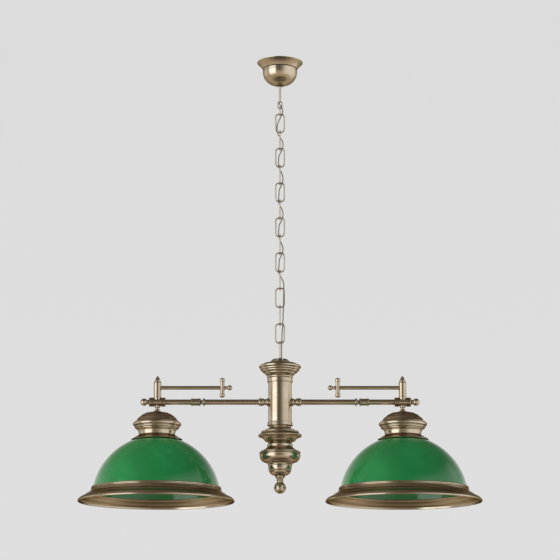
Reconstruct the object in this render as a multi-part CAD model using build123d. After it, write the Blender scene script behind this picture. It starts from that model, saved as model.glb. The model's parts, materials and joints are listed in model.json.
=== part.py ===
from build123d import *
import math
import os

# Hanging billiard lamp: two domed shades on a cross bar under a chain and a ceiling canopy.
# Millimetres. Origin: centre of the ceiling plane. +Z is up, +X runs along the arms.

# ceiling mount
BRACKET_LENGTH = 92.0
BRACKET_WIDTH = 18.0
BRACKET_THICKNESS = 2.5
BRACKET_DROP = 10.0          # how far the middle of the bracket stands off the ceiling
SCREW_SPACING = 68.0
SCREW_HOLE_RADIUS = 2.6
ROD_RADIUS = 2.4
NUT_ACROSS_FLATS = 8.0
NUT_HEIGHT = 4.0
EYE_WIRE = 3.0               # wire diameter of the hook's eye
EYE_WIDTH = 9.2              # eye, between wire centres
EYE_HEIGHT = 16.5
EYE_BOTTOM_Z = -111.0        # centre of the eye's lowest wire

# canopy
CANOPY_RADIUS = 53.0
CANOPY_DEPTH = 55.0
CANOPY_HOLE_RADIUS = 6.0

# chain
CHAIN_LINKS = 14
LINK_LENGTH = 47.8
LINK_WIDTH = 22.9
LINK_WIRE = 3.2
LINK_FLAT = 3.0              # straight stretch at each end of a link
RING_HEIGHT = 22.6
RING_WIDTH = 13.0
RING_WIRE = 3.0
CHAIN_PLAY = 0.1             # gap between two wires that hang in each other

# supply cable
CABLE_DIAMETER = 2.5

# central column, with heights counted from its top face
LOOP_TOP = 8.0               # centre of the hanging loop's top wire
LOOP_HALF_WIDTH = 6.5
TUBE_RADIUS = 26.7
TUBE_WALL = 1.5
TIE_ROD_RADIUS = 4.95
TIE_ROD_BORE = 3.5
ARM_DROP = 89.0              # from the top face down to the arms
ROSETTE_PETALS = 18
PETAL_GAP = 2.4

# arms
SHADE_X = 276.5
ARM_RADIUS = 6.0
ARM_BORE = 4.5
SPIGOT_RADIUS = 4.4          # end of the inner arm, which the outer arm turns on
ARM_SPLIT_X = 174.5
COUPLING_X = 178.5
COUPLING_LENGTH = 22.0
COUPLING_RADIUS = 8.4
COLLAR_LENGTH = 36.6
COLLAR_RADIUS = 10.3
END_BALL_RADIUS = 8.2
END_BALL_X = 306.5
POST_RADIUS = 8.4
LEVER_RADIUS = 4.2
LEVER_RISE = 32.6            # lever rod above the arm
TOGGLE_X = 130.5
TOGGLE_HALF = 22.0
TOGGLE_RADIUS = 4.85
TOGGLE_BALL_RADIUS = 5.75
FIT = 0.05                   # radial clearance of a rod in its bore

# shades, with heights counted from the top of the shade cap
SHADE_DROP = 21.5            # from the arm down to the top of the shade cap
SPHERE_RADIUS = 144.5        # outside of the glass
SPHERE_DROP = 199.0          # centre of that sphere
GLASS_WALL = 3.0
GLASS_HOLE_RADIUS = 29.0
GLASS_DEPTH = 184.0          # lower rim of the glass, inside the skirt
BAND_TOP = 171.0             # top of the skirt's band round the glass
BAND_BOTTOM = 178.6
SKIRT_RADIUS = 175.0
SHADE_DEPTH = 203.7          # lip of the skirt


def link_centre_height(length, wire):
    """Height of a link between the centres of its top and bottom wires."""
    return length - wire


ring_top_z = EYE_BOTTOM_Z + EYE_WIRE / 2 + RING_WIRE / 2 + CHAIN_PLAY
ring_bottom_z = ring_top_z - link_centre_height(RING_HEIGHT, RING_WIRE)
first_link_top_z = ring_bottom_z + RING_WIRE / 2 + LINK_WIRE / 2 + CHAIN_PLAY
link_pitch = link_centre_height(LINK_LENGTH, LINK_WIRE) - LINK_WIRE - CHAIN_PLAY
last_link_top_z = first_link_top_z - (CHAIN_LINKS - 1) * link_pitch
chain_end_z = last_link_top_z - link_centre_height(LINK_LENGTH, LINK_WIRE)
column_z = chain_end_z + LINK_WIRE + CHAIN_PLAY - LOOP_TOP
arm_z = column_z - ARM_DROP
shade_z = arm_z - SHADE_DROP


def outline(*points):
    """Closed face in the radius-height plane.

    A point is (radius, height). With a third number, the run that arrives there is an arc,
    and the number is how far the arc rises to the left of its chord.
    """
    edges = []
    here = points[-1][:2]
    for radius, height, *rise in points:
        there = (radius, height)
        edge = SagittaArc(here, there, rise[0]) if rise else Line(here, there)
        edges.append(edge)
        here = there
    return make_face(Wire([e.edge() for e in edges]))


def turned(*points):
    """Solid turned about the Z axis from a closed outline."""
    return revolve(Plane.XZ * outline(*points), Axis.Z)


def arc_rise(radius, start, end):
    """Rise of the arc of a given radius between two points."""
    half_chord = math.dist(start, end) / 2
    return radius - math.sqrt(radius**2 - half_chord**2)


def along_x(shape):
    """Turns a shape drawn along +Z so that it lies along +X."""
    return Rot(0, 90, 0) * shape


def rod(radius, start, end):
    """Plain round rod along Z between two heights."""
    return Pos(0, 0, (start + end) / 2) * Cylinder(radius, abs(end - start))


def ring_of_wire(width, height, corner, wire):
    """Closed loop of round wire in the XZ plane, sized between its wire centres."""
    path = (Plane.XZ * RectangleRounded(width, height, corner)).wire()
    section = Plane(origin=path @ 0, z_dir=path % 0) * Circle(wire / 2)
    return sweep(section, path=path)


# ------------------------------------------------------------------ ceiling mount

def ceiling_bracket():
    foot = 22.0
    web = 17.0
    half = BRACKET_LENGTH / 2
    drop = BRACKET_DROP + BRACKET_THICKNESS
    upper = [(half, 0), (foot, 0), (web, -BRACKET_DROP)]
    lower = [(web + 1.2, -drop), (foot + 1.2, -BRACKET_THICKNESS), (half, -BRACKET_THICKNESS)]
    top = upper + [(-x, z) for x, z in reversed(upper)]
    bottom = [(-x, z) for x, z in reversed(lower)] + lower
    strip = Plane.XZ * make_face(Polyline(*top, *bottom, close=True))
    shape = extrude(strip, BRACKET_WIDTH / 2, both=True)
    shape -= Cylinder(ROD_RADIUS + 0.1, 40)
    for side in (-1, 1):
        shape -= Pos(side * SCREW_SPACING / 2, 0, 0) * Cylinder(SCREW_HOLE_RADIUS, 20)
    return shape


def hook_rod():
    eye_middle = EYE_BOTTOM_Z + EYE_HEIGHT / 2
    eye = Pos(0, 0, eye_middle) * ring_of_wire(EYE_WIDTH, EYE_HEIGHT, EYE_WIDTH / 2 - 0.6, EYE_WIRE)
    eye_top = EYE_BOTTOM_Z + EYE_HEIGHT
    shaft = turned(
        (0, -3.5), (ROD_RADIUS - 0.5, -3.5), (ROD_RADIUS, -4.0), (ROD_RADIUS, eye_top + 3),
        (EYE_WIRE / 2, eye_top), (0, eye_top),
    )
    return shaft + eye


def hook_nuts():
    nut = extrude(RegularPolygon(NUT_ACROSS_FLATS / 2, 6, major_radius=False), NUT_HEIGHT)
    nut -= Cylinder(ROD_RADIUS + FIT, 20)
    above = Pos(0, 0, -BRACKET_DROP) * nut
    below = Pos(0, 0, -BRACKET_DROP - BRACKET_THICKNESS - NUT_HEIGHT) * nut
    return Compound([above, below])


def terminal_block():
    length, width, height = 15.0, 16.0, 12.0
    top = -BRACKET_DROP - BRACKET_THICKNESS
    block = Box(length, width, height)
    block = fillet(block.edges().filter_by(Axis.Z), 1.5)
    for y in (-4.0, 4.0):
        block -= Pos(0, y, -height / 2 + 3) * Cylinder(1.6, 7)
        block -= Pos(length / 2, y, 1.0) * Rot(0, 90, 0) * Cylinder(1.5, 6)
    return Pos(CABLE_START[0], 0, top - height / 2) * block


def canopy_shell():
    wall = 1.3
    rim = CANOPY_RADIUS
    deep = -CANOPY_DEPTH
    hole = CANOPY_HOLE_RADIUS
    return turned(
        (rim - wall, 0), (rim, 0), (rim, -0.9), (40.6, -15.2, -0.9), (38.5, -16.4), (38.3, -17.2),
        (39.7, -18.0), (39.6, -20.4), (17.0, -52.8, 7.2), (12.5, deep), (hole + 0.6, deep),
        (hole, deep + 0.6), (hole, deep + wall), (12.3, deep + wall), (16.4, -51.4),
        (38.2, -20.6, -7.0), (38.2, -19.0), (36.8, -17.4), (37.2, -15.8), (39.4, -14.4),
        (rim - wall, -1.2, 0.8),
    )


# ------------------------------------------------------------------ chain

def chain_link(number):
    corner = (LINK_WIDTH - LINK_WIRE - LINK_FLAT) / 2
    height = link_centre_height(LINK_LENGTH, LINK_WIRE)
    link = ring_of_wire(LINK_WIDTH - LINK_WIRE, height, corner, LINK_WIRE)
    top = first_link_top_z - (number - 1) * link_pitch
    quarter_turn = 90 * ((number + 1) % 2)
    return Pos(0, 0, top - height / 2) * Rot(0, 0, quarter_turn) * link


def jump_ring():
    height = link_centre_height(RING_HEIGHT, RING_WIRE)
    ring = ring_of_wire(RING_WIDTH - RING_WIRE, height, 4.2, RING_WIRE)
    return Pos(0, 0, ring_top_z - height / 2) * Rot(0, 0, 90) * ring


# ------------------------------------------------------------------ supply cable

# From the terminal block, down through the canopy, the hook's eye and the chain, into the column.
CABLE_START = (14.0, 0.0, -24.5)
CABLE_ROUTE = [
    CABLE_START, (14.0, 0.0, -31.0), (9.6, 2.2, -39.5), (2.6, 4.0, -46.5), (1.4, 4.1, -56.0),
    (1.2, 4.0, -74.0), (-0.8, 4.2, -89.0), (-2.6, 4.2, -97.0),
    (3.1, -4.4, -107.2), (6.8, -3.4, -117.0), (5.2, -4.2, -126.0),
    (-2.4, -0.6, -139.5), (-7.2, 3.6, -152.0), (-6.6, 4.8, -163.5), (-4.6, 4.8, -172.0),
    (0.4, 4.4, -179.5), (5.6, 4.2, -187.5), (7.4, 4.4, -196.5), (5.6, 4.8, -205.5),
    (2.4, 3.6, -215.0), (-2.6, 1.6, -223.5), (-3.4, -1.6, -236.0), (-3.6, -4.6, -247.0),
    (-2.8, -4.7, -253.5), (1.2, -4.4, -261.0), (5.2, -4.2, -270.5), (7.5, -4.4, -280.0),
    (6.0, -4.8, -288.5), (2.6, -3.8, -298.0), (-2.2, -1.8, -306.0), (-2.5, 1.6, -318.5),
    (-3.5, 4.6, -330.0), (-2.6, 4.7, -336.5), (1.2, 4.4, -343.5), (5.0, 4.2, -352.0),
    (7.4, 4.4, -361.5), (5.8, 4.8, -371.0), (2.5, 3.7, -380.5), (-2.4, 1.8, -388.5),
    (-2.7, -1.6, -401.0), (-3.6, -4.6, -412.5), (-2.7, -4.7, -419.0), (0.6, -4.4, -427.0),
    (4.6, -4.2, -436.5), (7.5, -4.4, -446.0), (5.9, -4.8, -454.0), (2.4, -3.8, -463.5),
    (-2.0, -1.8, -471.0), (-2.3, 1.6, -483.5), (-3.5, 4.6, -495.0), (-2.6, 4.7, -501.5),
    (1.6, 4.2, -509.0), (6.2, 2.6, -518.0), (8.7, -0.6, -527.0), (8.6, -3.6, -537.0),
    (8.2, -3.8, -556.0), (8.1, -3.7, -577.0), (7.2, -3.2, -592.0), (7.0, -3.6, -609.0),
    (6.3, -4.7, -621.0), (4.9, -2.0, -635.0), (4.6, 2.2, -648.0), (4.0, 4.6, -661.0),
    (3.7, 4.3, -675.0), (3.6, 4.0, -690.0), (3.9, 4.6, -701.5), (2.5, 3.4, -710.0),
    (0.5, 0.8, -718.0), (0.1, 0.1, -728.0), (0.0, 0.1, -746.0), (0.1, 0.0, -771.0),
    (0.0, 0.0, -796.0),
]


def route_radii(points):
    """For each corner, the largest arc that leaves a tenth of the shorter run straight."""
    places = [Vector(*p) for p in points]
    radii = []
    for before, corner, after in zip(places, places[1:], places[2:]):
        arriving = corner - before
        leaving = after - corner
        shorter = min(arriving.length, leaving.length)
        turn = math.radians(arriving.get_angle(leaving))
        radii.append(0.45 * shorter / math.tan(turn / 2))
    return radii


def supply_cable():
    radii = route_radii(CABLE_ROUTE)
    path = FilletPolyline(*CABLE_ROUTE, radius=radii)
    section = Plane(origin=path @ 0, z_dir=path % 0) * Circle(CABLE_DIAMETER / 2)
    cable = sweep(section, path=path)
    expected = math.pi * (CABLE_DIAMETER / 2) ** 2 * path.length
    print("cable length", round(path.length, 1), "smallest radii", [round(r, 1) for r in sorted(radii)[:6]])
    print("cable volume", round(cable.volume, 1), "expected", round(expected, 1))
    return cable


# ------------------------------------------------------------------ column
# Each piece is drawn with height 0 at the column's top face, and moved down at the end.

def hanging_loop():
    bend = LOOP_TOP - LOOP_HALF_WIDTH
    boss_top = -3.0
    leg_end = boss_top - 1.0
    path = Wire([
        Line((-LOOP_HALF_WIDTH, 0, leg_end), (-LOOP_HALF_WIDTH, 0, bend)).edge(),
        ThreePointArc((-LOOP_HALF_WIDTH, 0, bend), (0, 0, LOOP_TOP), (LOOP_HALF_WIDTH, 0, bend)).edge(),
        Line((LOOP_HALF_WIDTH, 0, bend), (LOOP_HALF_WIDTH, 0, leg_end)).edge(),
    ])
    wire = sweep(Plane(origin=path @ 0, z_dir=path % 0) * Circle(LINK_WIRE / 2), path=path)
    thread = TIE_ROD_RADIUS + FIT
    boss = turned(
        (thread, -8.9), (8.6, -8.9), (9.2, -8.2), (9.2, -3.8), (8.4, boss_top), (4.7, boss_top),
        (3.1, -5.6), (thread, -5.6),
    )
    return boss + wire


def top_rosette():
    """Crown of petals that lean in over the hanging loop, cut apart from the top."""
    depth = 9.0
    crown = turned((18.9, 0.05), (21.7, 0.05), (21.9, 1.4), (14.4, 9.0, -1.6), (13.2, 8.7), (18.9, 1.4, 1.3))
    gap = Box(depth, PETAL_GAP, 10.0)
    gap = fillet(gap.edges().filter_by(lambda e: abs(e.length - depth) < 0.1), PETAL_GAP / 2 - 0.1)
    gap = Pos(16.9, 0, 6.7) * Rot(0, -42, 0) * gap
    for step in range(ROSETTE_PETALS):
        crown -= Rot(0, 0, (step + 0.5) * 360 / ROSETTE_PETALS) * gap
    return crown


def column_cap():
    hole = TIE_ROD_RADIUS + 0.2
    tube = TUBE_RADIUS + 0.1
    return turned(
        (hole, -9), (12.0, -9), (12.6, -8.4), (12.6, -0.8), (13.4, 0), (24.0, 0), (37.5, -1.6, -0.5),
        (45.0, -5.2, -0.7), (47.3, -7.6, -0.5), (47.5, -10.4), (46.2, -11.8), (45.0, -12.4),
        (44.2, -15.8, -0.5), (42.8, -17.0), (41.4, -17.0), (40.8, -18.0), (36.8, -21.8, 1.2),
        (35.4, -21.6), (34.6, -22.8), (30.2, -27.0, 1.3), (28.9, -29.0), (27.9, -29.8), (29.0, -31.0, 0.5),
        (28.8, -33.4, 0.3), (28.0, -34.6), (28.5, -35.4), (28.5, -44.0), (27.9, -44.6), (tube, -44.6),
        (tube, -30.2), (25.4, -29.0), (33.5, -20.0),
        (42.6, -14.6), (43.6, -7.4), (36.5, -3.4), (24.0, -1.8), (14.6, -1.8), (14.6, -10.8), (hole, -10.8),
    )


def column_tube():
    inner = TUBE_RADIUS - TUBE_WALL
    tube = turned((inner, -30.3), (TUBE_RADIUS, -30.3), (TUBE_RADIUS, -139.0), (inner, -139.0))
    return tube - Pos(0, 0, -ARM_DROP) * along_x(Cylinder(ARM_RADIUS + 0.3, 80))


def column_saucer():
    seat = TUBE_RADIUS + 0.1
    return turned(
        (seat, -134.6), (27.7, -134.6), (28.0, -136.0), (28.9, -141.8), (28.9, -142.6), (26.0, -143.6),
        (24.4, -146.0, -0.4), (29.6, -151.4, -1.2), (30.4, -151.4), (33.0, -152.8, 0.6), (33.2, -153.6),
        (39.2, -155.6, -0.6), (40.0, -155.2), (42.2, -156.8, 0.6), (42.2, -157.6), (46.4, -162.2, -0.7),
        (47.4, -162.6), (49.0, -165.9, 0.4), (48.2, -167.6), (45.4, -168.8), (34.2, -177.4, -1.6),
        (30.4, -178.8), (25.6, -183.2, -0.8), (23.8, -183.2), (27.8, -178.6), (32.6, -176.0),
        (43.6, -168.0), (46.0, -165.6), (40.2, -157.6), (30.0, -154.6), (22.6, -149.4), (22.6, -139.2),
        (seat, -139.2),
    )


def column_bowl():
    return turned(
        (24.0, -183.3), (25.6, -183.3), (28.4, -187.4, 1.3), (28.2, -190.8, 0.3), (30.2, -192.4),
        (37.6, -197.6, -0.7), (43.6, -200.6), (45.9, -202.8, -0.8), (45.9, -204.8, 0.5),
        (44.7, -205.6), (46.1, -207.8, -0.6), (45.6, -210.0), (45.4, -214.0), (31.6, -226.2, 3.0),
        (27.4, -231.0, -0.9), (26.9, -231.4), (24.6, -231.4), (29.4, -225.2), (43.6, -213.2, -2.8),
        (43.8, -204.0),
        (36.4, -199.2), (28.2, -194.0), (26.2, -190.6), (24.0, -187.0),
    )


def finial_cup():
    hole = TIE_ROD_RADIUS + 0.15
    return turned(
        (24.4, -231.5), (26.8, -231.5), (27.0, -232.8), (26.2, -233.6), (25.4, -242.2, 0.4),
        (25.9, -243.4), (24.8, -244.8), (15.3, -254.3, 1.8), (hole, -254.3), (hole, -252.4),
        (14.2, -252.4), (22.8, -243.8, -1.6), (24.4, -234.0, -0.4),
    )


def ball_finial():
    centre = -282.2
    radius = 13.5
    neck = 6.6
    meeting = (neck, centre + math.sqrt(radius**2 - neck**2))
    equator = (radius, centre)
    pole = (0, centre - radius)
    socket = TIE_ROD_RADIUS + FIT
    return turned(
        (socket, -254.4), (10.9, -254.4), (11.2, -256.0), (9.6, -260.4, 0.4), (6.8, -264.8, -0.5),
        (7.9, -266.2, 0.5), (6.9, -268.0), meeting, (*equator, arc_rise(radius, meeting, equator)),
        (*pole, arc_rise(radius, equator, pole)), (0, -260.2), (socket, -260.2),
    )


def tie_rod():
    bar = rod(TIE_ROD_RADIUS, -5.7, -260.0) - rod(TIE_ROD_BORE, 0, -256.0)
    return bar - Pos(0, 0, -ARM_DROP) * along_x(Cylinder(2.4, 30))


def centre_block():
    block = turned((0, 13), (15, 13), (16, 12), (16, -12), (15, -13), (0, -13))
    block -= along_x(Cylinder(ARM_RADIUS + FIT, 60)) + Cylinder(TIE_ROD_RADIUS + 0.1, 60)
    return Pos(0, 0, -ARM_DROP) * block


def arm_fitting():
    """Turned bush on the right of the tube that the arm leaves through."""
    bore = ARM_RADIUS + FIT
    bush = along_x(turned(
        (bore, 22.0), (9.0, 22.0), (9.0, 28.4), (8.6, 29.4), (6.9, 31.4, 0.5), (6.9, 35.4), (8.0, 37.4, 0.4),
        (8.6, 42.4, -0.4), (8.0, 47.2, -0.4), (7.0, 48.2), (bore, 48.2),
    ))
    return Pos(0, 0, -ARM_DROP) * bush - Pos(0, 0, -ARM_DROP) * Cylinder(TUBE_RADIUS + 0.05, 60)


def arm_fittings():
    right = arm_fitting()
    return Compound([right, mirror(right, about=Plane.YZ)])


def inner_arm():
    ring_x = ARM_SPLIT_X - 5.0
    bore = 3.2
    arm = along_x(turned(
        (bore, 7.5), (ARM_RADIUS, 7.5), (ARM_RADIUS, ring_x), (8.0, ring_x), (8.4, ring_x + 0.6),
        (8.4, ring_x + 2.6), (7.0, ARM_SPLIT_X, 0.4), (SPIGOT_RADIUS, ARM_SPLIT_X),
        (SPIGOT_RADIUS, ARM_SPLIT_X + 22), (bore, ARM_SPLIT_X + 22),
    ))
    return Pos(0, 0, -ARM_DROP) * arm


# ------------------------------------------------------------------ arm ends
# Drawn on the right, with height 0 at the arm. The left ones are their mirror image.

def coupling():
    """Ribbed nut that holds the outer arm on the inner arm's spigot."""
    start = COUPLING_X
    end = COUPLING_X + COUPLING_LENGTH
    bore = ARM_RADIUS + 0.08
    shoulder = start + 1.4
    waist = COUPLING_RADIUS - 0.7
    body = turned(
        (SPIGOT_RADIUS + 0.08, start), (7.0, start), (COUPLING_RADIUS, start + 1.0),
        (COUPLING_RADIUS, start + 4.6), (waist, start + 5.2), (waist, end - 5.2),
        (COUPLING_RADIUS, end - 4.6), (COUPLING_RADIUS, end - 1.0), (7.6, end), (bore, end),
        (bore, shoulder), (SPIGOT_RADIUS + 0.08, shoulder),
    )
    groove = Pos(COUPLING_RADIUS + 0.35, 0, (start + end) / 2) * Cylinder(0.9, COUPLING_LENGTH + 2)
    ribs = 16
    for step in range(ribs):
        body -= Rot(0, 0, step * 360 / ribs) * groove
    return along_x(body)


def outer_arm():
    start = COUPLING_X + 1.6
    end = SHADE_X + COLLAR_LENGTH / 2
    return along_x(turned((ARM_BORE, start), (ARM_RADIUS, start), (ARM_RADIUS, end), (ARM_BORE, end)))


def end_collar():
    half = COLLAR_LENGTH / 2
    band = 10.5
    groove = 0.55
    profile = [(0, -half), (9.4, -half), (COLLAR_RADIUS, -half + 0.8)]
    for step in range(1, 4):
        z = -half + step * band / 4
        profile += [(COLLAR_RADIUS, z - groove), (COLLAR_RADIUS - groove, z), (COLLAR_RADIUS, z + groove)]
    profile += [(COLLAR_RADIUS, -half + band), (9.2, -half + band + 0.8)]
    mirrored = [(r, -z) for r, z in reversed(profile)]
    barrel = Pos(SHADE_X, 0, 0) * along_x(turned(*profile, *mirrored))
    boss = Pos(SHADE_X, 0, 0) * (rod(POST_RADIUS, 0, 10.9) + rod(5.4, -10.9, 0))
    stud_hole = Pos(SHADE_X, 0, 0) * rod(3.0 + FIT, -11, -6)
    arm = along_x(rod(ARM_RADIUS + FIT, 200, 350))
    return barrel + boss - arm - stud_hole


def end_ball():
    face = SHADE_X + COLLAR_LENGTH / 2 + 0.1
    neck = 4.6
    radius = END_BALL_RADIUS
    meeting = (neck, END_BALL_X - math.sqrt(radius**2 - neck**2))
    equator = (radius, END_BALL_X)
    pole = (0, END_BALL_X + radius)
    return along_x(turned(
        (0, face - 8), (SPIGOT_RADIUS, face - 8), (SPIGOT_RADIUS, face), (6.6, face), (6.6, face + 1.6),
        (neck, face + 2.4), meeting, (*equator, -arc_rise(radius, meeting, equator)),
        (*pole, -arc_rise(radius, equator, pole)),
    ))


def post():
    shoulder = 43.4
    column = turned(
        (0, 11.0), (POST_RADIUS - 0.4, 11.0), (POST_RADIUS, 11.5), (POST_RADIUS, shoulder),
        (7.4, shoulder + 0.5), (7.4, shoulder + 1.1), (8.7, shoulder + 1.6), (8.7, shoulder + 2.6),
        (6.6, shoulder + 3.6), (6.4, shoulder + 5.2), (0.9, shoulder + 15.6, -0.8), (0, shoulder + 15.9),
    )
    socket = Pos(0, 0, LEVER_RISE) * along_x(rod(LEVER_RADIUS + FIT, -12, -4))
    return Pos(SHADE_X, 0, 0) * (column - socket)


def lever_rod():
    bar = turned(
        (0, TOGGLE_X), (2.5, TOGGLE_X), (2.5, TOGGLE_X + 5.0), (LEVER_RADIUS, TOGGLE_X + 5.0),
        (LEVER_RADIUS, SHADE_X - 4.2), (0, SHADE_X - 4.2),
    )
    return Pos(0, 0, LEVER_RISE) * along_x(bar)


def lever_toggle():
    cap = TOGGLE_HALF - 9.0
    bar = turned(
        (0, -TOGGLE_HALF), (2.0, -TOGGLE_HALF), (6.0, -TOGGLE_HALF + 4.4, -1.4), (5.8, -cap - 1.0),
        (TOGGLE_RADIUS, -cap), (TOGGLE_RADIUS, cap), (5.8, cap + 1.0), (6.0, TOGGLE_HALF - 4.4),
        (2.0, TOGGLE_HALF, -1.4), (0, TOGGLE_HALF),
    )
    radius = TOGGLE_BALL_RADIUS
    neck = 3.2
    ball = -16.8
    pole = (0, ball - radius)
    equator = (radius, ball)
    meeting = (neck, ball + math.sqrt(radius**2 - neck**2))
    knob = along_x(turned(
        pole, (*equator, -arc_rise(radius, pole, equator)), (*meeting, -arc_rise(radius, equator, meeting)),
        (neck, -11.4), (3.75, -8.4, 0.3), (4.4, -4.0), (0, -4.0),
    ))
    bore = along_x(rod(2.5 + FIT, -0.2, 8))
    return Pos(TOGGLE_X, 0, LEVER_RISE) * (bar + knob - bore)


# Shade pieces are drawn on their own axis, with height 0 at the top of the shade cap.

def hanger_spool():
    top = SHADE_DROP - 11.0
    return turned(
        (0, SHADE_DROP - 6.6), (3.0, SHADE_DROP - 6.6), (3.0, top), (6.2, top), (6.2, top - 1.2),
        (4.4, 5.4, -0.9), (8.0, 1.4, -0.8), (8.2, 0.05), (4.9, 0.05), (4.9, -20.0), (0, -20.0),
    )


def shade_cap():
    hole = 5.0
    return turned(
        (hole, 0), (9.0, 0), (14.0, -1.4, -0.4), (27.0, -4.2), (28.2, -5.4), (37.0, -10.4, 0.6),
        (38.2, -11.8), (45.2, -18.4, 0.7), (46.4, -20.2), (50.8, -24.0, -0.6), (51.2, -25.4),
        (53.0, -25.8), (54.3, -29.0, 0.5), (53.4, -32.0, 0.3), (50.0, -33.0), (49.6, -34.4),
        (50.4, -36.2, 0.4), (49.4, -38.0, 0.3), (46.6, -38.8), (46.4, -40.4), (41.6, -45.2, -0.8),
        (40.8, -51.4), (42.6, -54.6, -0.8), (57.0, -63.0), (57.5, -64.4), (56.0, -64.8),
        (41.2, -56.2), (39.2, -51.8), (39.8, -44.4), (44.4, -39.2), (47.6, -34.4), (51.4, -29.2),
        (45.0, -21.4), (36.4, -12.4), (26.6, -6.2), (9.0, -1.8), (hole, -1.8),
    )


def on_sphere(radius, drop):
    """Distance from the axis to a sphere about the glass's centre, at a height."""
    return math.sqrt(radius**2 - (SPHERE_DROP - drop) ** 2)


def height_on_sphere(radius, away):
    """Height of that sphere's upper half, away from the axis."""
    return math.sqrt(radius**2 - away**2) - SPHERE_DROP


def shade_glass():
    inside = SPHERE_RADIUS - GLASS_WALL
    hole = GLASS_HOLE_RADIUS
    top = (hole, height_on_sphere(SPHERE_RADIUS, hole))
    rim = (on_sphere(SPHERE_RADIUS, GLASS_DEPTH), -GLASS_DEPTH)
    rim_inside = (on_sphere(inside, GLASS_DEPTH), -GLASS_DEPTH)
    top_inside = (hole, height_on_sphere(inside, hole))
    return turned(
        top, (*rim, arc_rise(SPHERE_RADIUS, top, rim)),
        rim_inside, (*top_inside, -arc_rise(inside, rim_inside, top_inside)),
    )


def shade_skirt():
    cement = 0.15
    top = on_sphere(SPHERE_RADIUS, BAND_TOP) + cement
    band = on_sphere(SPHERE_RADIUS, BAND_BOTTOM) + cement
    lip = -SHADE_DEPTH
    return turned(
        (top, -BAND_TOP), (top + 1.8, -BAND_TOP), (band + 1.4, -173.8, 0.9), (band + 1.5, -176.6, 0.9),
        (band + 2.4, -177.6), (155.0, -186.0, -1.6), (169.0, -194.4, -0.6), (173.4, -198.6, 0.5),
        (SKIRT_RADIUS, lip + 2.0, 0.6), (SKIRT_RADIUS - 0.8, lip, 0.6), (SKIRT_RADIUS - 2.6, lip + 0.6, 0.5),
        (172.0, -199.6), (168.0, -195.8, -0.4), (154.4, -187.4, 0.6), (band + 0.9, -BAND_BOTTOM - 0.2, 1.6),
        (band, -BAND_BOTTOM),
    )


def lampholder():
    clamp = -62.2
    mouth = -84.0
    return turned(
        (0, -26), (4.95, -26), (4.95, -17), (12, -17), (19, -21, 1.0), (20, -24), (20, clamp),
        (33.6, clamp), (34.2, clamp - 1.0), (34.2, clamp - 3.6), (20.4, clamp - 3.6), (20, mouth),
        (14, mouth), (14, -51), (0, -51),
    )


def bulb():
    centre = -134.0
    radius = 30.0
    wall = 1.0
    inside = radius - wall
    contact_hole = 1.2
    shoulder = (20.5, centre + math.sqrt(radius**2 - 20.5**2))
    equator = (radius, centre)
    pole = (0, centre - radius)
    shoulder_inside = (19.6, centre + math.sqrt(inside**2 - 19.6**2))
    equator_inside = (inside, centre)
    pole_inside = (0, centre - inside)
    return turned(
        (contact_hole, -52.6), (4.4, -52.6), (5.2, -54.4), (12.9, -57.2), (12.9, -80.0), (13.5, -84.5),
        (*shoulder, -1.2), (*equator, arc_rise(radius, shoulder, equator)),
        (*pole, arc_rise(radius, equator, pole)), pole_inside,
        (*equator_inside, -arc_rise(inside, pole_inside, equator_inside)),
        (*shoulder_inside, -arc_rise(inside, equator_inside, shoulder_inside)),
        (12.5, -84.8, 1.2), (11.9, -80.0), (11.9, -58.4), (4.4, -56.2), (contact_hole, -56.2),
    )


# ------------------------------------------------------------------ assembly

column_place = Pos(0, 0, column_z)
arm_place = Pos(0, 0, arm_z)
shade_place = Pos(SHADE_X, 0, shade_z)

parts = {
    "ceiling_bracket": ceiling_bracket(),
    "hook_rod": hook_rod(),
    "hook_nuts": hook_nuts(),
    "terminal_block": terminal_block(),
    "canopy_shell": canopy_shell(),
    "jump_ring": jump_ring(),
    "supply_cable": supply_cable(),
}
for number in range(1, CHAIN_LINKS + 1):
    parts[f"chain_link_{number:02d}"] = chain_link(number)
for piece in (hanging_loop, top_rosette, column_cap, column_tube, column_saucer, column_bowl,
              finial_cup, ball_finial, tie_rod, centre_block, arm_fittings):
    parts[piece.__name__] = column_place * piece()

right_pieces = {"inner_arm": column_place * inner_arm()}
for piece in (coupling, outer_arm, end_collar, end_ball, post, lever_rod, lever_toggle):
    right_pieces[piece.__name__] = arm_place * piece()
for piece in (hanger_spool, shade_cap, shade_glass, shade_skirt, lampholder, bulb):
    right_pieces[piece.__name__] = shade_place * piece()
for name, shape in right_pieces.items():
    parts[f"{name}_right"] = shape
    parts[f"{name}_left"] = mirror(shape, about=Plane.YZ)

os.makedirs("parts", exist_ok=True)
for name, shape in parts.items():
    export_step(shape, f"parts/{name}.step")
print("column top", round(column_z, 2), "arms", round(arm_z, 2), "shade cap top", round(shade_z, 2))
print(len(parts), "nodes")
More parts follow.
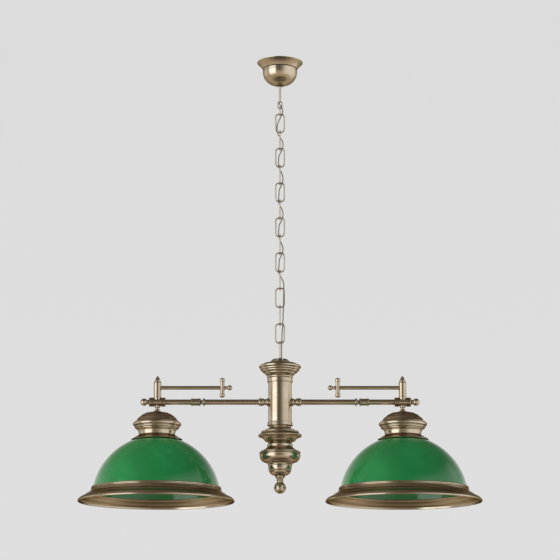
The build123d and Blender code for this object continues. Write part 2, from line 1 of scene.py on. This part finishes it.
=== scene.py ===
import bmesh
import bpy
import json
import math
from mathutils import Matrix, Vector

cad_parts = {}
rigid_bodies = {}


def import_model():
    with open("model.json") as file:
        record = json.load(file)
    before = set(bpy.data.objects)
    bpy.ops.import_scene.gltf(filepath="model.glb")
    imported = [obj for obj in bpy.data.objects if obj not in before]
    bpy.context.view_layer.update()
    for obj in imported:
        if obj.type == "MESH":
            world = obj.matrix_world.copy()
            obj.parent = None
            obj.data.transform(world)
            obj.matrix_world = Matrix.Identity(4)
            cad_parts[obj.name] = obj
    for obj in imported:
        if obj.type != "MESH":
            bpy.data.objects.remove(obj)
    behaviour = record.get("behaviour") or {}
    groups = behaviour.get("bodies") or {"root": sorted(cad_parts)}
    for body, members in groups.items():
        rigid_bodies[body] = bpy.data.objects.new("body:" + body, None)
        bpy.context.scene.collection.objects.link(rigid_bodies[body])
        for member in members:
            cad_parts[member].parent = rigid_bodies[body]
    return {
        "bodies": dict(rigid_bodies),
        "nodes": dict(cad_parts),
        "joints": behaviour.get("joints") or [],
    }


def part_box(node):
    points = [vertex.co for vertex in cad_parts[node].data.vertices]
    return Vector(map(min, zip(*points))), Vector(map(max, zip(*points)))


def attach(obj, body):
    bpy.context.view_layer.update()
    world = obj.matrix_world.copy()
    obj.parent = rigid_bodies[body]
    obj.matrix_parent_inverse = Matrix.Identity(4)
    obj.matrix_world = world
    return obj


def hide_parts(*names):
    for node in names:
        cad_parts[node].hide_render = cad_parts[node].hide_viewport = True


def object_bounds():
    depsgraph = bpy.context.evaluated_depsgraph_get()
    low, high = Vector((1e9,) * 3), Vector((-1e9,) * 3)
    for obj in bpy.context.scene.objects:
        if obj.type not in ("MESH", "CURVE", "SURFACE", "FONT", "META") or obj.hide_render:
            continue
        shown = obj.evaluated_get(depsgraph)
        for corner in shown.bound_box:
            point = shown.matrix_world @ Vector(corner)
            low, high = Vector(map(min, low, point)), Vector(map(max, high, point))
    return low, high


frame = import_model()
cad_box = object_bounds()

# Looks of the hanging billiard lamp. Metres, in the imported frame: +Z up, +X along the arms.

SIDES = ("left", "right")
LINKS = sum(1 for name in frame["bodies"] if name.startswith("link_"))


def middle(node):
    low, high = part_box(node)
    return (low + high) / 2


shade_axis = {side: middle(f"shade_glass_{side}") for side in SIDES}
arm_height = middle("inner_arm_left").z


# ------------------------------------------------------------------ camera, stage and light

CAMERA_PLACE = Vector((0.0, -4.6, -1.492))
CAMERA_AIM = Vector((0.0, 0.0, -0.518))
CAMERA_LENS = 132.4        # focal length and sensor width in millimetres
CAMERA_SENSOR = 36.0

KEY_PLACE = Vector((-2.2, -2.0, 0.6))
KEY_AIM = Vector((0.0, 0.0, -0.7))
KEY_SIZE = 1.6
KEY_POWER = 40.0
KEY_COLOUR = (1.0, 0.98, 0.94)


def aim(thing, place, target):
    """Puts a camera or a light at a place and turns it towards a target."""
    thing.location = place
    thing.rotation_euler = (target - place).to_track_quat("-Z", "Y").to_euler()
    bpy.context.scene.collection.objects.link(thing)


def set_camera():
    data = bpy.data.cameras.new("camera")
    data.lens = CAMERA_LENS
    data.sensor_width = CAMERA_SENSOR
    camera = bpy.data.objects.new("camera", data)
    aim(camera, CAMERA_PLACE, CAMERA_AIM)
    bpy.context.scene.camera = camera


def set_lights():
    """One large soft light from the upper left, which only models the shapes: the studio is in the world."""
    data = bpy.data.lights.new("key", "AREA")
    data.shape = "RECTANGLE"
    data.size = KEY_SIZE
    data.size_y = KEY_SIZE
    data.energy = KEY_POWER
    data.color = KEY_COLOUR
    key = bpy.data.objects.new("key", data)
    key.visible_camera = False
    key.visible_glossy = False
    aim(key, KEY_PLACE, KEY_AIM)


# ------------------------------------------------------------------ nodes

HOLLOW_SAMPLES = 12


class Tree:
    """Adds nodes to a material's or the world's node tree."""

    def __init__(self, tree):
        self.tree = tree

    def feed(self, socket, value):
        if isinstance(value, bpy.types.NodeSocket):
            self.tree.links.new(value, socket)
        else:
            socket.default_value = value

    def add(self, kind, inputs=None, **settings):
        node = self.tree.nodes.new("ShaderNode" + kind)
        for key, value in settings.items():
            setattr(node, key, value)
        for key, value in (inputs or {}).items():
            self.feed(node.inputs[key], value)
        return node

    def maths(self, operation, *values):
        return self.add("Math", dict(enumerate(values)), operation=operation).outputs[0]

    def mix(self, factor, first, second):
        """Colour that goes from the first to the second as the factor goes from 0 to 1."""
        return self.add("Mix", {0: factor, 6: first, 7: second}, data_type="RGBA").outputs[2]

    def scaled(self, value, low, high, to_low, to_high, kind="LINEAR"):
        """The range low to high carried over to another range, and held at its ends."""
        inputs = {0: value, 1: low, 2: high, 3: to_low, 4: to_high}
        return self.add("MapRange", inputs, interpolation_type=kind, clamp=True).outputs[0]

    def eased(self, value, low, high, to_low, to_high):
        """The same with soft ends."""
        return self.scaled(value, low, high, to_low, to_high, kind="SMOOTHSTEP")


class Nodes(Tree):
    """Builds one node material."""

    def __init__(self, name):
        self.material = bpy.data.materials.new(name)
        self.material.use_nodes = True
        super().__init__(self.material.node_tree)
        self.shader = self.tree.nodes["Principled BSDF"]

    def place(self, centre=(0, 0, 0)):
        """Point on the surface in the lamp's frame, counted from a centre."""
        point = self.add("TexCoord").outputs["Object"]
        return self.add("VectorMath", {0: point, 1: centre}, operation="SUBTRACT").outputs[0]

    def noise(self, vector, scale, detail=3.0, roughness=0.55):
        inputs = {"Vector": vector, "Scale": scale, "Detail": detail, "Roughness": roughness}
        return self.add("TexNoise", inputs).outputs[0]

    def hollows(self, reach, inside=False):
        """0 in a hollow and 1 in the open, or with inside, 0 on a sharp edge."""
        inputs = {"Distance": reach}
        return self.add("AmbientOcclusion", inputs, samples=HOLLOW_SAMPLES, inside=inside).outputs["AO"]

    def bump(self, height, strength, distance, under=None):
        inputs = {"Height": height, "Strength": strength, "Distance": distance}
        if under is not None:
            inputs["Normal"] = under
        return self.add("Bump", inputs).outputs[0]

    def surface(self, **inputs):
        for key, value in inputs.items():
            self.feed(self.shader.inputs[key.replace("_", " ")], value)
        return self.material


def grey(value):
    return (value, value, value, 1.0)


# ------------------------------------------------------------------ materials

BRASS_LIGHT = (0.60, 0.525, 0.415, 1.0)
BRASS_MID = (0.52, 0.44, 0.335, 1.0)
# Dark brass for the flecks, and for the toning and painted shade in the hollows.
BRASS_FLECK_AND_SHADE = (0.085, 0.056, 0.032, 1.0)
BRASS_WORN = (0.76, 0.69, 0.57, 1.0)
# Grazing reflection tints, set dark so that the edges come out darker: painted shade. The tube's is paler, so
# its edges are painted lighter.
BRASS_EDGE_SHADE_TINT = (0.20, 0.155, 0.105, 1.0)
TUBE_EDGE_SHADE_TINT = (0.48, 0.40, 0.31, 1.0)
LATHE_MARKS = 420.0        # scales of the brass's patterns, per metre
LATHE_BANDS = 110.0
BRASS_CLOUDS = 22.0
BRASS_FLECKS = 600.0
HOLLOW_REACH = 0.006       # distance over which nearby walls darken a hollow, as antique toning and painted shade
EDGE_REACH = 0.0010        # and over which a sharp edge counts as worn


def antique_brass(name, axis="Z", centre=(0, 0, 0), toning_and_shade=1.0, roughness=0.19, edge_shade_tint=BRASS_EDGE_SHADE_TINT):
    """Toned brass: lathe marks round an axis, brown toning and painted shade in the hollows, paler worn edges,
    and a dark grazing tint that paints shade on the edges.
    """
    n = Nodes(name)
    place = n.place(centre)
    parts = n.add("SeparateXYZ", {0: place})
    along = parts.outputs[axis]
    across = [parts.outputs[letter] for letter in "XYZ" if letter != axis]
    squares = [n.maths("MULTIPLY", value, value) for value in across]
    radius = n.maths("SQRT", n.maths("ADD", *squares))
    lathe_place = n.add("CombineXYZ", {0: along, 1: radius, 2: 0.0}).outputs[0]
    lathe = n.noise(lathe_place, LATHE_MARKS, detail=2.0, roughness=0.6)
    bands = n.noise(lathe_place, LATHE_BANDS, detail=2.0)
    cloud = n.noise(place, BRASS_CLOUDS, detail=4.0)
    speck = n.noise(place, BRASS_FLECKS, detail=2.0, roughness=0.6)

    toned = n.eased(n.maths("MULTIPLY_ADD", bands, 0.35, cloud), 0.50, 0.86, 0.0, 1.0)
    colour = n.mix(toned, BRASS_LIGHT, BRASS_MID)
    fleck = n.scaled(speck, 0.66, 0.80, 0.0, 0.08)
    colour = n.mix(fleck, colour, BRASS_FLECK_AND_SHADE)
    # Darker where nearby walls close in: antique toning, and painted shade in the hollows.
    hollow_toning_and_shade = n.eased(n.hollows(HOLLOW_REACH), 0.38, 0.94, 0.90 * toning_and_shade, 0.0)
    colour = n.mix(hollow_toning_and_shade, colour, BRASS_FLECK_AND_SHADE)
    edge = n.scaled(n.hollows(EDGE_REACH, inside=True), 0.15, 0.50, 0.40, 0.0)
    colour = n.mix(edge, colour, BRASS_WORN)

    smear = n.scaled(cloud, 0.35, 0.65, roughness - 0.02, roughness + 0.04)
    rough = n.maths("MULTIPLY_ADD", hollow_toning_and_shade, 0.15, smear)
    relief = n.bump(lathe, 0.05, 0.0001)
    # The grazing tint darkens the reflections at the edges: painted shade.
    return n.surface(Base_Color=colour, Metallic=1.0, Roughness=rough, Specular_Tint=edge_shade_tint, Normal=relief)


GLASS_DEEP = (0.012, 0.215, 0.058, 1.0)
GLASS_PALE = (0.018, 0.265, 0.078, 1.0)
GLASS_DUST = (0.30, 0.42, 0.32, 1.0)


def green_glass(name, centre):
    """Cased green glass: glossy, a little uneven, with faint waves and dust."""
    n = Nodes(name)
    place = n.place(centre)
    wave = n.noise(place, 9.0, detail=2.0)
    fine = n.noise(place, 75.0, detail=4.0)
    colour = n.mix(n.eased(wave, 0.35, 0.65, 0.0, 1.0), GLASS_DEEP, GLASS_PALE)
    dust = n.scaled(n.noise(place, 900.0, detail=2.0), 0.68, 0.80, 0.0, 0.10)
    colour = n.mix(dust, colour, GLASS_DUST)
    rough = n.scaled(fine, 0.35, 0.70, 0.04, 0.08)
    relief = n.bump(wave, 0.10, 0.004)
    relief = n.bump(fine, 0.02, 0.001, relief)
    return n.surface(Base_Color=colour, Roughness=rough, IOR=1.55, Normal=relief)


BULB_CAP_LENGTH = 0.0285
BULB_THREAD = 43.0         # scale of the waves that stand for the cap's thread


def opal_bulb(name, top):
    """Opal glass, and a nickel screw cap down from the bulb's top."""
    n = Nodes(name)
    place = n.place(top)
    height = n.add("SeparateXYZ", {0: place}).outputs["Z"]
    cap = n.maths("GREATER_THAN", height, -BULB_CAP_LENGTH)
    mottle = n.noise(place, 120.0, detail=4.0)
    opal = n.mix(n.scaled(mottle, 0.3, 0.7, 0.0, 1.0), (0.86, 0.85, 0.81, 1), (0.92, 0.91, 0.88, 1))
    nickel = n.mix(mottle, (0.52, 0.50, 0.46, 1), (0.72, 0.70, 0.66, 1))
    rough = n.mix(cap, grey(0.16), grey(0.30))
    inputs = {"Vector": place, "Scale": BULB_THREAD}
    thread = n.add("TexWave", inputs, wave_type="BANDS", bands_direction="Z").outputs[0]
    relief = n.bump(n.maths("MULTIPLY", thread, cap), 0.8, 0.0012)
    colour = n.mix(cap, opal, nickel)
    return n.surface(Base_Color=colour, Metallic=cap, Roughness=rough, IOR=1.5, Normal=relief)


def zinc_steel(name):
    """Zinc-plated steel with faint spangles, and painted shade in its hollows."""
    n = Nodes(name)
    place = n.place()
    spangle = n.add("TexVoronoi", {"Vector": place, "Scale": 340.0}).outputs["Distance"]
    fine = n.noise(place, 1500.0, detail=2.0)
    colour = n.mix(n.scaled(spangle, 0.0, 0.8, 0.0, 1.0), (0.50, 0.51, 0.52, 1), (0.64, 0.64, 0.62, 1))
    # Darker where nearby walls close in: painted shade.
    painted_hollow_shade = n.scaled(n.hollows(0.004), 0.4, 0.95, 0.6, 0.0)
    colour = n.mix(painted_hollow_shade, colour, (0.13, 0.12, 0.10, 1))
    rough = n.scaled(spangle, 0.0, 0.8, 0.28, 0.42)
    return n.surface(Base_Color=colour, Metallic=1.0, Roughness=rough, Normal=n.bump(fine, 0.12, 0.0002))


BLACK_PLASTIC = ((0.018, 0.017, 0.016, 1.0), (0.034, 0.032, 0.029, 1.0))
IVORY_PLASTIC = ((0.70, 0.68, 0.60, 1.0), (0.80, 0.78, 0.71, 1.0))


def moulded_plastic(name, dark, light, roughness):
    """Fine-grained plastic that varies a little between two colours."""
    n = Nodes(name)
    place = n.place()
    grain = n.noise(place, 1400.0, detail=2.0)
    cloud = n.noise(place, 60.0, detail=4.0)
    colour = n.mix(n.scaled(cloud, 0.3, 0.7, 0.0, 1.0), dark, light)
    rough = n.scaled(cloud, 0.3, 0.7, roughness - 0.06, roughness + 0.06)
    return n.surface(Base_Color=colour, Roughness=rough, IOR=1.48, Normal=n.bump(grain, 0.15, 0.0002))


BRAID_TURNS = 6.0          # waves of the weave round the lead
BRAID_ADVANCE = 900.0      # and along it, in radians per metre


def braided_lead(name):
    """Thin lead in a bronze textile braid: two sets of strands that cross, along the UVs."""
    n = Nodes(name)
    uv = n.add("TexCoord").outputs["UV"]
    parts = n.add("SeparateXYZ", {0: uv})
    around = n.maths("MULTIPLY", parts.outputs["X"], 2 * math.pi * BRAID_TURNS)
    along = n.maths("MULTIPLY", parts.outputs["Y"], BRAID_ADVANCE)
    right = n.maths("SINE", n.maths("ADD", around, along))
    left = n.maths("SINE", n.maths("SUBTRACT", around, along))
    weave = n.maths("MULTIPLY_ADD", n.maths("MULTIPLY", right, left), 0.5, 0.5)
    cloud = n.noise(n.place(), 140.0, detail=3.0)
    colour = n.mix(weave, (0.085, 0.062, 0.036, 1), (0.235, 0.185, 0.12, 1))
    colour = n.mix(n.scaled(cloud, 0.35, 0.7, 0.0, 0.35), colour, (0.31, 0.26, 0.18, 1))
    return n.surface(Base_Color=colour, Roughness=n.scaled(weave, 0.0, 1.0, 0.62, 0.40),
                     Normal=n.bump(weave, 0.5, 0.0003), Sheen_Weight=0.15)


def paint(nodes, material):
    """Gives the CAD nodes one material, and leaves their meshes as they are."""
    for node in nodes:
        slots = frame["nodes"][node].data.materials
        slots.clear()
        slots.append(material)


def on_sides(*names):
    return [f"{name}_{side}" for name in names for side in SIDES]


def paint_cad():
    """Every CAD node's material. Turned brass has its lathe marks round the axis it was turned on."""
    links = [f"chain_link_{number:02d}" for number in range(1, LINKS + 1)]
    stack = ["hanging_loop", "top_rosette", "column_cap", "column_saucer", "column_bowl", "finial_cup",
             "ball_finial"]
    paint(["canopy_shell"], antique_brass("brass_canopy", roughness=0.20))
    paint(stack, antique_brass("brass_stack", roughness=0.22))
    # The tube's copy of the brass has a paler grazing tint: its edges are painted lighter.
    paint(["column_tube"], antique_brass("brass_tube", roughness=0.17, edge_shade_tint=TUBE_EDGE_SHADE_TINT))
    # The chain's brass gets more toning and painted shade in its hollows.
    paint(["hook_rod", "jump_ring", *links], antique_brass("brass_chain", toning_and_shade=1.1, roughness=0.24))
    level = (0.0, 0.0, arm_height)
    cross = on_sides("inner_arm", "outer_arm", "coupling", "end_collar", "end_ball") + ["arm_fittings"]
    paint(cross, antique_brass("brass_arms", axis="X", centre=level))
    lever_level = tuple(middle("lever_rod_left"))
    paint(on_sides("lever_rod"), antique_brass("brass_levers", axis="X", centre=lever_level))
    for side in SIDES:
        centre = tuple(shade_axis[side])
        uprights = [f"{name}_{side}" for name in ("post", "hanger_spool", "shade_cap", "shade_skirt")]
        paint(uprights, antique_brass(f"brass_shade_{side}", centre=centre, roughness=0.20))
        toggle_axis = tuple(middle(f"lever_toggle_{side}"))
        paint([f"lever_toggle_{side}"], antique_brass(f"brass_toggle_{side}", centre=toggle_axis))
        paint([f"shade_glass_{side}"], green_glass(f"green_glass_{side}", centre))
        bulb_top = (centre[0], centre[1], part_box(f"bulb_{side}")[1].z)
        paint([f"bulb_{side}"], opal_bulb(f"opal_bulb_{side}", bulb_top))
    paint(on_sides("lampholder"), moulded_plastic("holder_plastic", *BLACK_PLASTIC, 0.34))
    paint(["terminal_block"], moulded_plastic("terminal_plastic", *IVORY_PLASTIC, 0.45))
    paint(["ceiling_bracket", "hook_nuts", "tie_rod", "centre_block"], zinc_steel("zinc_steel"))


# ------------------------------------------------------------------ supply lead

LEAD_RADIUS = 0.00125
LEAD_ORDER = 3             # quadratic curve, and how many steps it takes between two points of the route
LEAD_STEPS = 10
LEAD_SIDES = 14
REACH = 2                  # rings by which each length of lead reaches past the joint
REACH_TAPER = 0.06         # how much narrower each of those rings is
# The lead's route, from the terminal block through the canopy, the eye and the chain into the column.
LEAD_ROUTE = [(x / 1000, y / 1000, z / 1000) for x, y, z in (
    (14.0, 0.0, -24.5), (14.0, 0.0, -31.0), (9.6, 2.2, -39.5), (2.6, 4.0, -46.5), (1.4, 4.1, -56.0),
    (1.2, 4.0, -74.0), (-0.8, 4.2, -89.0), (-2.6, 4.2, -97.0),
    (3.1, -4.4, -107.2), (6.8, -3.4, -117.0), (5.2, -4.2, -126.0),
    (-2.4, -0.6, -139.5), (-7.2, 3.6, -152.0), (-6.6, 4.8, -163.5), (-4.6, 4.8, -172.0),
    (0.4, 4.4, -179.5), (5.6, 4.2, -187.5), (7.4, 4.4, -196.5), (5.6, 4.8, -205.5),
    (2.4, 3.6, -215.0), (-2.6, 1.6, -223.5), (-3.4, -1.6, -236.0), (-3.6, -4.6, -247.0),
    (-2.8, -4.7, -253.5), (1.2, -4.4, -261.0), (5.2, -4.2, -270.5), (7.5, -4.4, -280.0),
    (6.0, -4.8, -288.5), (2.6, -3.8, -298.0), (-2.2, -1.8, -306.0), (-2.5, 1.6, -318.5),
    (-3.5, 4.6, -330.0), (-2.6, 4.7, -336.5), (1.2, 4.4, -343.5), (5.0, 4.2, -352.0),
    (7.4, 4.4, -361.5), (5.8, 4.8, -371.0), (2.5, 3.7, -380.5), (-2.4, 1.8, -388.5),
    (-2.7, -1.6, -401.0), (-3.6, -4.6, -412.5), (-2.7, -4.7, -419.0), (0.6, -4.4, -427.0),
    (4.6, -4.2, -436.5), (7.5, -4.4, -446.0), (5.9, -4.8, -454.0), (2.4, -3.8, -463.5),
    (-2.0, -1.8, -471.0), (-2.3, 1.6, -483.5), (-3.5, 4.6, -495.0), (-2.6, 4.7, -501.5),
    (1.6, 4.2, -509.0), (6.2, 2.6, -518.0), (8.7, -0.6, -527.0), (8.6, -3.6, -537.0),
    (8.2, -3.8, -556.0), (8.1, -3.7, -577.0), (7.2, -3.2, -592.0), (7.0, -3.6, -609.0),
    (6.3, -4.7, -621.0), (4.9, -2.0, -635.0), (4.6, 2.2, -648.0), (4.0, 4.6, -661.0),
    (3.7, 4.3, -675.0), (3.6, 4.0, -690.0), (3.9, 4.6, -701.5), (2.5, 3.4, -710.0),
    (0.5, 0.8, -718.0), (0.1, 0.1, -728.0), (0.0, 0.1, -746.0), (0.1, 0.0, -771.0),
    (0.0, 0.0, -796.0),
)]


def smooth_line(route):
    """Closely spaced points of the smooth NURBS curve that the route controls."""
    curve = bpy.data.curves.new("lead_line", "CURVE")
    curve.dimensions = "3D"
    spline = curve.splines.new("NURBS")
    spline.points.add(len(route) - 1)
    for point, place in zip(spline.points, route):
        point.co = (*place, 1.0)
    spline.order_u = LEAD_ORDER
    spline.use_endpoint_u = True
    spline.resolution_u = LEAD_STEPS
    carrier = bpy.data.objects.new("lead_line", curve)
    bpy.context.scene.collection.objects.link(carrier)
    bpy.context.view_layer.update()
    mesh = bpy.data.meshes.new_from_object(carrier)
    points = [vertex.co.copy() for vertex in mesh.vertices]
    bpy.data.objects.remove(carrier)
    return points


def line_frames(points):
    """A sideways vector at each point, carried along without twist, and the distance travelled."""
    side = Vector((0.0, 1.0, 0.0))
    travelled = 0.0
    frames = []
    for index, point in enumerate(points):
        before = points[max(index - 1, 0)]
        after = points[min(index + 1, len(points) - 1)]
        ahead = (after - before).normalized()
        side = (side - ahead * side.dot(ahead)).normalized()
        if index:
            travelled += (point - points[index - 1]).length
        frames.append((point, side, ahead.cross(side), travelled))
    return frames


def tube(name, frames, radii):
    """Closed round tube along part of a line, with UVs that carry on from one part to the next."""
    sides = LEAD_SIDES
    turns = [2 * math.pi * step / sides for step in range(sides)]
    mesh = bmesh.new()
    uv = mesh.loops.layers.uv.new("UVMap")
    rings = []
    for (point, side, other, travelled), radius in zip(frames, radii):
        places = [point + (side * math.cos(a) + other * math.sin(a)) * radius for a in turns]
        rings.append(([mesh.verts.new(place) for place in places], travelled))
    for (ring, start), (following, end) in zip(rings, rings[1:]):
        for step in range(sides):
            nearby = (step + 1) % sides
            face = mesh.faces.new((ring[step], ring[nearby], following[nearby], following[step]))
            face.smooth = True
            corners = ((step, start), (step + 1, start), (step + 1, end), (step, end))
            for loop, (count, length) in zip(face.loops, corners):
                loop[uv].uv = (count / sides, length)
    mesh.faces.new(rings[-1][0])
    mesh.faces.new(list(reversed(rings[0][0])))
    bmesh.ops.recalc_face_normals(mesh, faces=mesh.faces)
    data = bpy.data.meshes.new(name)
    mesh.to_mesh(data)
    mesh.free()
    piece = bpy.data.objects.new(name, data)
    bpy.context.scene.collection.objects.link(piece)
    return piece


def make_lead():
    """The lead in one length per body, parted level with the joints, where its lengths overlap a little."""
    bodies = ["ceiling_mount", "ring"] + [f"link_{number:02d}" for number in range(1, LINKS + 1)] + ["column"]
    placed = [joint for joint in frame["joints"] if "pos_m" in joint]
    joint_height = {(joint["parent"], joint["child"]): joint["pos_m"][2] for joint in placed}
    frames = line_frames(smooth_line(LEAD_ROUTE))
    last = len(frames) - 1
    cuts = [0]
    for pair in zip(bodies, bodies[1:]):
        cuts.append(min(range(last), key=lambda index: abs(frames[index][0].z - joint_height[pair])))
    cuts.append(last)
    material = braided_lead("braided_lead")
    for number, (body, upper, lower) in enumerate(zip(bodies, cuts, cuts[1:])):
        span = range(max(upper - REACH, 0), min(lower + REACH, last) + 1)
        beyond = [max(upper - index, index - lower, 0) for index in span]
        radii = [LEAD_RADIUS * (1 - REACH_TAPER * steps) for steps in beyond]
        piece = tube(f"supply_lead_{number + 1:02d}", [frames[index] for index in span], radii)
        piece.data.materials.append(material)
        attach(piece, body)
        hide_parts("supply_cable")


# ------------------------------------------------------------------ stage

FLOOR_DROP = 4.0           # from the lamp's lowest point down to the floor
FLOOR_HALF = 52.0          # half the floor's side


def set_floor():
    """Pale floor that glows a little, so that it stays pale, and doesn't light the lamp."""
    z = cad_box[0][2] - FLOOR_DROP
    corners = [(x * FLOOR_HALF, y * FLOOR_HALF, z) for x, y in ((-1, -1), (1, -1), (1, 1), (-1, 1))]
    mesh = bpy.data.meshes.new("floor")
    mesh.from_pydata(corners, [], [(0, 1, 2, 3)])
    floor = bpy.data.objects.new("floor", mesh)
    bpy.context.scene.collection.objects.link(floor)
    n = Nodes("floor_paint")
    cloud = n.noise(n.place(), 1.5)
    colour = n.mix(cloud, grey(0.62), grey(0.66))
    glow = n.mix(cloud, grey(0.40), grey(0.44))
    n.surface(Base_Color=colour, Roughness=0.7, Emission_Color=glow, Emission_Strength=1.0)
    mesh.materials.append(n.material)
    floor.visible_glossy = False
    floor.visible_diffuse = False


BACKDROP_TOP = 0.708       # greys of what the camera sees behind the lamp
BACKDROP_BOTTOM = 0.738
# What lights the lamp and shows in its reflections.
FRONT_LIGHT = (0.160, 0.142, 0.104, 1.0)
BACK_LIGHT = (0.90, 0.89, 0.87, 1.0)
TOP_LIGHT = (0.120, 0.098, 0.074, 1.0)
TOP_LEFT_LIGHT = (0.30, 0.255, 0.195, 1.0)
FLOOR_LIGHT = (0.60, 0.50, 0.37, 1.0)
UNDER_LIGHT = (0.115, 0.090, 0.058, 1.0)
# The studio's two windows, each with its light, bearing and slope. Bearings count from the front towards the
# right and slopes from the level, in degrees. Each has its start, its end, and how soft the start and end are.
WINDOWS = (
    ((2.05, 2.05, 2.0, 1.0), (-78, -30, 5, 5), (-26, 22, 10, 10)),
    ((1.05, 1.03, 0.98, 1.0), (24, 125, 26, 10), (-30, 34, 10, 10)),
)


def between(n, angle, start, end, soft_start, soft_end):
    """1 between two angles in degrees and 0 elsewhere, with soft edges."""
    rising = n.eased(angle, math.radians(start - soft_start), math.radians(start + soft_start), 0.0, 1.0)
    falling = n.eased(angle, math.radians(end - soft_end), math.radians(end + soft_end), 1.0, 0.0)
    return n.maths("MULTIPLY", rising, falling)


def studio_light(n, direction):
    """Light of the studio in a direction: pale behind the lamp, dim in front, with two windows."""
    across = direction.outputs["X"]
    depth = direction.outputs["Y"]
    height = direction.outputs["Z"]
    around = n.mix(n.eased(depth, -0.45, 0.30, 0.0, 1.0), FRONT_LIGHT, BACK_LIGHT)
    top = n.mix(n.eased(across, -0.65, 0.15, 1.0, 0.0), TOP_LIGHT, TOP_LEFT_LIGHT)
    under = n.mix(n.eased(height, -0.97, -0.72, 1.0, 0.0), FLOOR_LIGHT, UNDER_LIGHT)
    light = n.mix(n.eased(height, 0.15, 0.70, 0.0, 1.0), around, top)
    light = n.mix(n.eased(height, -0.42, 0.06, 1.0, 0.0), light, under)
    bearing = n.maths("ARCTAN2", across, n.maths("MULTIPLY", depth, -1.0))
    slope = n.maths("ARCSINE", height)
    for window_light, bearings, slopes in WINDOWS:
        opening = n.maths("MULTIPLY", between(n, bearing, *bearings), between(n, slope, *slopes))
        light = n.mix(opening, light, window_light)
    return light


def set_world():
    """The studio for everything but the camera, which sees a pale even background."""
    world = bpy.data.worlds.new("studio")
    world.use_nodes = True
    bpy.context.scene.world = world
    n = Tree(world.node_tree)
    n.tree.nodes.clear()
    direction = n.add("SeparateXYZ", {0: n.add("TexCoord").outputs["Generated"]})
    fade = n.eased(direction.outputs["Z"], -0.05, 0.5, 0.0, 1.0)
    shown = n.mix(fade, grey(BACKDROP_BOTTOM), grey(BACKDROP_TOP))
    seen = n.add("LightPath").outputs["Is Camera Ray"]
    light = n.mix(seen, studio_light(n, direction), shown)
    background = n.add("Background", {"Color": light, "Strength": 1.0})
    output = n.add("OutputWorld", {"Surface": background.outputs[0]})
    output.is_active_output = True


# ------------------------------------------------------------------ the scene

set_camera()
make_lead()
paint_cad()
set_floor()
set_lights()
set_world()
bpy.context.scene.view_settings.view_transform = "Standard"
